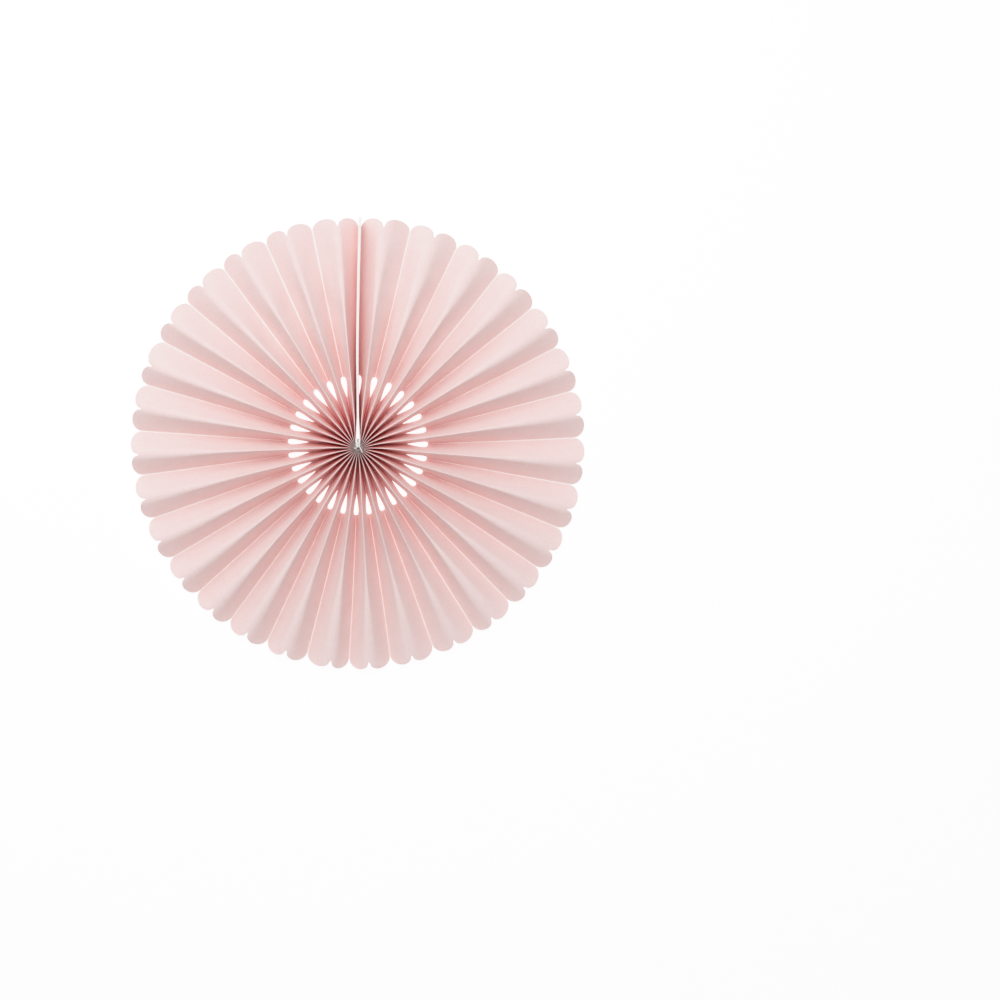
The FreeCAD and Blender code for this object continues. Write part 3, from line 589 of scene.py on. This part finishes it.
def card(side, name):
    ys = [START, 5.0, 8.0, 12.0, 16.0, 21.0, BEND, 38.0, 50.0, 63.0, 76.0, 86.0, 96.0, 108.0, 120.0, 138.0, 154.0, 168.0, 182.0, 192.0, CARD_TIP]
    sections = []
    c = 0.09
    for n, y in enumerate(ys):
        push = SPLAY * max(0.0, (BEND - y) / (BEND - START))
        near = float(seam_x(y)) + side * (TAPE / 2 + push)
        far = float(seam_x(y)) + side * (TAPE / 2 + push + CARD)
        lo, hi = min(near, far), max(near, far)
        e = 0.06 if n in (0, len(ys) - 1) else 0.0
        cc = c + e
        z0, z1 = 0.0 + e, CARD_UP - e
        ring = [(lo + cc, z0), (hi - cc, z0), (hi - e, z0 + c), (hi - e, z1 - c), (hi - cc, z1), (lo + cc, z1), (lo + e, z1 - c), (lo + e, z0 + c)]
        sections.append([(x, y, z) for x, z in ring])
    obj = strip_object(name, sections, card_mat)
    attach(obj, "root")
    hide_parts("end_card_right" if side > 0 else "end_card_left")
    return obj


card(1, "card_right")
card(-1, "card_left")

sections = []
for y in [34.0, 50.0, 63.0, 76.0, 86.0, 96.0, 108.0, 120.0, 138.0, 154.0, 174.0, 194.0]:
    x = float(seam_x(y))
    sections.append([(x - TAPE / 2, y, 1.0), (x + TAPE / 2, y, 1.0), (x + TAPE / 2, y, 24.4), (x - TAPE / 2, y, 24.4)])
tape = strip_object("tape_strip", sections, tape_mat)
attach(tape, "root")
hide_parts("adhesive_tape")

# ------------------------------------------------------------------ the thread
STRAND, KNOT, RING, RING_UP, THREAD = 0.48, 24.75, 6.5, 12.5, 0.9


def rounded(points, rounds=3):
    points = [np.array(v, dtype=float) for v in points]
    for _ in range(rounds):
        out = [points[0]]
        for a, b in zip(points, points[1:]):
            out += [a * 0.75 + b * 0.25, a * 0.25 + b * 0.75]
        points = out + [points[-1]]
    return points


def thread_line():
    first = rounded([(-3.3, -0.8, KNOT + 0.7), (-2.1, -1.1, KNOT + 0.75), (-1.1, -0.8, KNOT + 0.2), (-STRAND - 0.1, 0.1, KNOT - 1.0), (-STRAND, 0.6, KNOT - 2.2),
                     (-STRAND, 0.6, KNOT - 3.4), (-STRAND, 0.6, RING_UP + 1.0), (-STRAND, 0.6, RING_UP), (-STRAND, 1.6, RING_UP)])
    start = math.asin((STRAND + 1.2) / RING)
    turns = [start + (2 * math.pi - 2 * start) * n / 60 for n in range(61)]
    hub = [np.array((-RING * math.sin(a), RING * math.cos(a), RING_UP)) for a in turns]
    out_turn = rounded([(-STRAND, RING - 1.6, RING_UP), (-STRAND, RING, RING_UP), hub[0]])
    in_turn = rounded([hub[-1], (STRAND, RING, RING_UP), (STRAND, RING - 1.6, RING_UP)])
    last = rounded([(STRAND, 1.6, RING_UP), (STRAND, 0.6, RING_UP), (STRAND, 0.6, RING_UP + 1.0), (STRAND, 0.6, KNOT - 2.6),
                    (STRAND, 0.45, KNOT - 1.4), (0.3, -0.4, KNOT + 0.2), (-1.1, 0.9, KNOT + 0.75), (-1.9, 2.5, KNOT + 0.8), (-0.9, 3.4, KNOT + 0.85), (0.9, 3.4, KNOT + 0.85),
                    (1.9, 2.5, KNOT + 0.8), (1.1, 1.0, KNOT + 0.75), (0.1, 0.0, KNOT + 0.8), (-0.6, 1.0, KNOT + 1.1), (-0.7, 2.3, KNOT + 1.15),
                    (0.4, 2.6, KNOT + 1.15), (1.0, 1.6, KNOT + 1.1), (1.4, 0.3, KNOT + 0.95), (2.2, -1.0, KNOT + 0.9), (4.0, -4.8, KNOT + 0.95)])
    pts = np.array(first + out_turn + hub[1:-1] + in_turn + last)
    step = np.linalg.norm(np.diff(pts, axis=0), axis=1)
    pts = pts[np.concatenate([[True], step > 0.02])]
    at = np.concatenate([[0.0], np.cumsum(np.linalg.norm(np.diff(pts, axis=0), axis=1))])
    even = np.arange(0.0, at[-1], 0.22)
    return np.stack([np.interp(even, at, pts[:, c]) for c in range(3)], axis=1), even


def thread_object():
    line, at = thread_line()
    along = np.gradient(line, axis=0)
    along /= np.linalg.norm(along, axis=1, keepdims=True)
    normal = np.array([0.0, 0.0, 1.0])
    pts, faces = [], []
    plies, sides, ply = 3, 6, THREAD * 0.27
    frames = []
    for n in range(len(line)):
        normal = normal - along[n] * normal.dot(along[n])
        normal /= np.linalg.norm(normal)
        frames.append((normal.copy(), np.cross(along[n], normal)))
    for m in range(plies):
        base = len(pts)
        for n, v in enumerate(line):
            nn, oo = frames[n]
            twist = 2 * math.pi * (at[n] / 2.1 + m / plies)
            centre = v + (nn * math.cos(twist) + oo * math.sin(twist)) * (THREAD / 2 - ply) * 0.98
            for k in range(sides):
                a = 2 * math.pi * k / sides
                pts.append(centre + (nn * math.cos(a) + oo * math.sin(a)) * ply)
        count = len(line)
        for n in range(count - 1):
            for k in range(sides):
                a, b = base + n * sides + k, base + n * sides + (k + 1) % sides
                faces.append((a, b, b + sides, a + sides))
        faces.append(tuple(base + k for k in range(sides))[::-1])
        faces.append(tuple(base + (count - 1) * sides + k for k in range(sides)))
    return make_object("cotton_thread", np.array(pts), faces, thread_mat, sharp=60)


thread = thread_object()
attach(thread, "root")
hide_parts("tie_thread")

# ------------------------------------------------------------------ floor, light and camera
FLOOR_GLOW, FLOOR_WHITE = 1.23, 0.42
mat, tree, shader = new_material("studio_floor")
shader.inputs["Base Color"].default_value = rgba(FLOOR_WHITE, FLOOR_WHITE, FLOOR_WHITE)
shader.inputs["Roughness"].default_value = 1.0
shader.inputs["Specular IOR Level"].default_value = 0.0
shader.inputs["Emission Color"].default_value = rgba(1, 1, 1)
shader.inputs["Emission Strength"].default_value = FLOOR_GLOW
mesh = bpy.data.meshes.new("studio_floor")
mesh.from_pydata([(-4, -4, 0), (4, -4, 0), (4, 4, 0), (-4, 4, 0)], [], [(0, 1, 2, 3)])
mesh.materials.append(mat)
floor = bpy.data.objects.new("studio_floor", mesh)
floor.location.z = -0.0002
bpy.context.scene.collection.objects.link(floor)

world = bpy.data.worlds.new("studio")
bpy.context.scene.world = world
world.use_nodes = True
back = world.node_tree.nodes["Background"]
back.inputs["Color"].default_value = rgba(1.0, 1.0, 1.0)
back.inputs["Strength"].default_value = 0.50


def area_light(name, place, size, power, target=(0.0, 0.0, 0.0)):
    data = bpy.data.lights.new(name, "AREA")
    data.shape = "DISK"
    data.size = size
    data.energy = power
    obj = bpy.data.objects.new(name, data)
    bpy.context.scene.collection.objects.link(obj)
    obj.location = place
    obj.rotation_euler = (Vector(target) - Vector(place)).to_track_quat("-Z", "Y").to_euler()
    return obj


def placed(azimuth, elevation, distance):
    """Azimuth clockwise from 12 o'clock, elevation above the table."""
    a, e = math.radians(azimuth), math.radians(elevation)
    return (distance * math.sin(a) * math.cos(e), distance * math.cos(a) * math.cos(e), distance * math.sin(e))


area_light("key", placed(-8, 71, 1.4), 0.9, 10.2)
area_light("side", placed(-30, 38, 1.4), 0.9, 4.4)

TILT, AWAY = math.radians(3.5), 1.0
cam_data = bpy.data.cameras.new("camera")
cam_data.lens = 40.52
cam_data.sensor_width = 36.0
cam_data.shift_x, cam_data.shift_y = 0.1421, -0.0547
cam = bpy.data.objects.new("camera", cam_data)
bpy.context.scene.collection.objects.link(cam)
cam.location = (HUB_X / 1000, HUB_Y / 1000 + AWAY * math.sin(TILT), AWAY * math.cos(TILT))
cam.rotation_euler = (-TILT, 0.0, 0.0)
cam_data.clip_start = 0.05
bpy.context.scene.camera = cam
bpy.context.scene.cycles.max_bounces = 16
bpy.context.scene.cycles.diffuse_bounces = 14
view = bpy.context.scene.view_settings
view.view_transform = "Standard"
view.look = "None"
view.exposure = 0.0
view.gamma = 1.0
# a soft shoulder, so that the bright sides of the pleats keep their pink
view.use_curve_mapping = True
shoulder = view.curve_mapping
shoulder.use_clip = False
shoulder.extend = "EXTRAPOLATED"
line = shoulder.curves[3]
line.points[0].location = (0.0, 0.0)
line.points[1].location = (1.26, 1.0)
for x, y in ((0.3, 0.3), (0.6, 0.6), (0.7, 0.683), (0.8, 0.754), (0.9, 0.82), (1.0, 0.884), (1.1, 0.94), (1.2, 0.986)):
    line.points.new(x, y)
shoulder.update()
